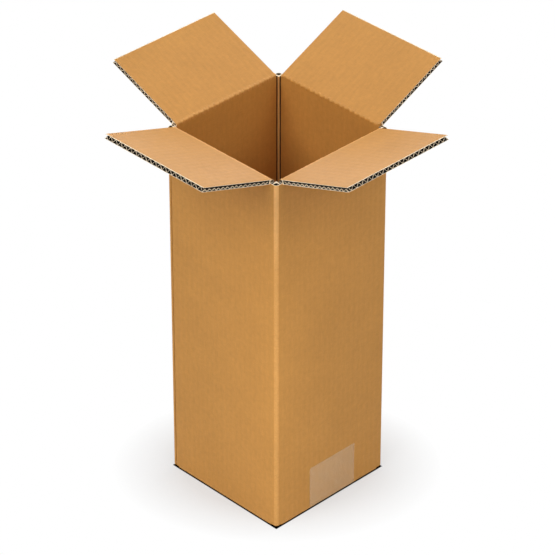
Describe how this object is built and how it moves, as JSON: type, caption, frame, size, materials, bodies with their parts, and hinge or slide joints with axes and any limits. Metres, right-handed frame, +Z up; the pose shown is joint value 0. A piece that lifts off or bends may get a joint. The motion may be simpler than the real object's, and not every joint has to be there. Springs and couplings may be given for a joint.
{
  "type": "open cardboard box",
  "caption": "Tall square corrugated cardboard box, standing open, with hinged top flaps splayed outwards and a folded base closed by clear tape.",
  "frame": {"origin": "middle of the base, on the surface that the box stands on", "axes": "+Z up; the front left wall faces -Y, the front right wall +X, the back right wall +Y and the back left wall -X"},
  "size_m": [0.3419, 0.3401, 0.4713],
  "materials": {
    "kraft_board": "matt unbleached kraft liner",
    "clear_tape": "clear packing tape, slightly glossy"
  },
  "bodies": {
    "box": {"box_body": "kraft_board", "bottom_tape": "clear_tape"},
    "flap_front_left": {"top_flap_front_left": "kraft_board"},
    "flap_front_right": {"top_flap_front_right": "kraft_board"},
    "flap_back_left": {"top_flap_back_left": "kraft_board"},
    "flap_back_right": {"top_flap_back_right": "kraft_board"}
  },
  "joints": [
    {"name": "front_left_crease", "type": "hinge", "parent": "box", "child": "flap_front_left", "pos_m": [0, -0.07725, 0.427], "axis": [-1, 0, 0], "range_deg": [-68.5, 161.5]},
    {"name": "front_right_crease", "type": "hinge", "parent": "box", "child": "flap_front_right", "pos_m": [0.07725, 0, 0.427], "axis": [0, -1, 0], "range_deg": [-69, 211]},
    {"name": "back_left_crease", "type": "hinge", "parent": "box", "child": "flap_back_left", "pos_m": [-0.07725, 0, 0.427], "axis": [0, 1, 0], "range_deg": [-72, 208]},
    {"name": "back_right_crease", "type": "hinge", "parent": "box", "child": "flap_back_right", "pos_m": [0, 0.07725, 0.427], "axis": [1, 0, 0], "range_deg": [-75, 148]}
  ]
}
